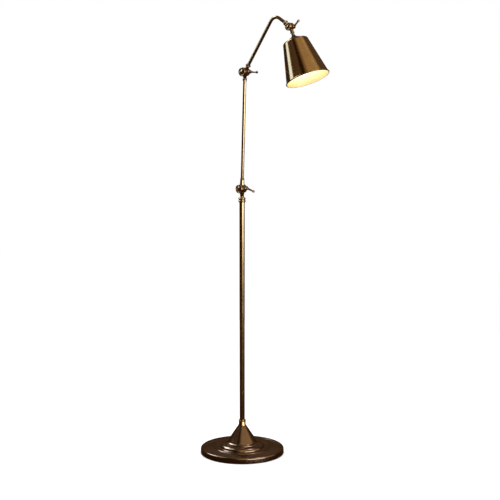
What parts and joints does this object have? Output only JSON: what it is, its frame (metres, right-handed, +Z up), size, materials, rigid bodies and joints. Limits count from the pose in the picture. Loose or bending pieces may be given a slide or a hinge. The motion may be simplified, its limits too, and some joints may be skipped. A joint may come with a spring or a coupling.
{
  "type": "pharmacy floor lamp",
  "caption": "Floor lamp with a round weighted base, an upright pole, two jointed arms with clamp-lever knuckles, and a tilting cone shade over a screw lamp.",
  "frame": {"origin": "centre of the felt pad's underside, on the floor, under the pole", "axes": "+Z up along the pole; +X the way the arms and the head reach; +Y along the knuckle bolts, from the bolt heads to the clamp levers"},
  "size_m": [0.5352, 0.31, 1.6074],
  "materials": {
    "felt": "matt felt",
    "iron": "rough cast",
    "base_bronze": "dark antique patina, satin",
    "antique_brass": "antique patina, semi-gloss",
    "shade_brass": "antique patina outside, white enamel inside",
    "cap_bronze": "blackened",
    "bolt_brass": "polished",
    "steel": "zinc plated",
    "fibre": "pressed fibre",
    "black_rubber": "matt",
    "lead_sleeve": "smooth sheath",
    "terminal_plastic": "natural",
    "porcelain": "glazed ceramic",
    "lamp_glass": "frosted, lit"
  },
  "bodies": {
    "stand": {"felt_pad": "felt", "base_weight": "iron", "base_cover": "base_bronze", "cord_grommet": "black_rubber", "terminal_block": "terminal_plastic", "base_washer": "steel", "base_nut": "steel", "base_nipple": "steel", "pole_socket": "antique_brass", "lower_pole": "antique_brass", "pole_collar": "antique_brass", "stand_lead": "lead_sleeve", "mid_knuckle_lower": "antique_brass", "mid_bolt": "bolt_brass", "mid_friction_disc": "fibre", "mid_washer": "steel"},
    "middle_arm": {"mid_knuckle_upper": "antique_brass", "middle_tube": "antique_brass", "middle_screws": "steel", "middle_lead": "lead_sleeve", "elbow_ferrule": "antique_brass", "elbow_knuckle_lower": "antique_brass", "elbow_bolt": "bolt_brass", "elbow_friction_disc": "fibre", "elbow_washer": "steel"},
    "upper_arm": {"elbow_knuckle_upper": "antique_brass", "elbow_collar": "antique_brass", "upper_tube": "antique_brass", "upper_screws": "steel", "upper_lead": "lead_sleeve", "head_collar": "antique_brass", "head_knuckle_arm": "antique_brass", "head_bolt": "bolt_brass", "head_friction_disc": "fibre", "head_washer": "steel"},
    "head": {"head_knuckle_neck": "antique_brass", "neck_nipple": "steel", "shade_cap": "cap_bronze", "shade": "shade_brass", "shade_washer": "steel", "lock_nut": "steel", "holder_cap": "base_bronze", "holder_body": "base_bronze", "holder_core": "porcelain", "screw_shell": "antique_brass", "centre_contact": "steel", "bulb_cap": "steel", "bulb_glass": "lamp_glass"},
    "mid_lever": {"mid_lever": "antique_brass"},
    "elbow_lever": {"elbow_lever": "antique_brass"},
    "head_lever": {"head_lever": "antique_brass"}
  },
  "joints": [
    {"name": "mid_knuckle", "type": "hinge", "parent": "stand", "child": "middle_arm", "pos_m": [0, 0, 0.99], "axis": [0, 1, 0], "range_deg": [-97, 93]},
    {"name": "elbow_knuckle", "type": "hinge", "parent": "middle_arm", "child": "upper_arm", "pos_m": [0.01473, 0, 1.41174], "axis": [0, 1, 0], "range_deg": [-120, 57]},
    {"name": "head_knuckle", "type": "hinge", "parent": "upper_arm", "child": "head", "pos_m": [0.22673, 0, 1.56813], "axis": [0, 1, 0], "range_deg": [-120, 50]},
    {"name": "mid_lever_turn", "type": "hinge", "parent": "stand", "child": "mid_lever", "pos_m": [0, 0, 0.99], "axis": [0, 1, 0], "range_deg": [0, 180]},
    {"name": "elbow_lever_turn", "type": "hinge", "parent": "middle_arm", "child": "elbow_lever", "pos_m": [0.01473, 0, 1.41174], "axis": [0, 1, 0], "range_deg": [0, 180]},
    {"name": "head_lever_turn", "type": "hinge", "parent": "upper_arm", "child": "head_lever", "pos_m": [0.22673, 0, 1.56813], "axis": [0, 1, 0], "range_deg": [0, 180]}
  ]
}
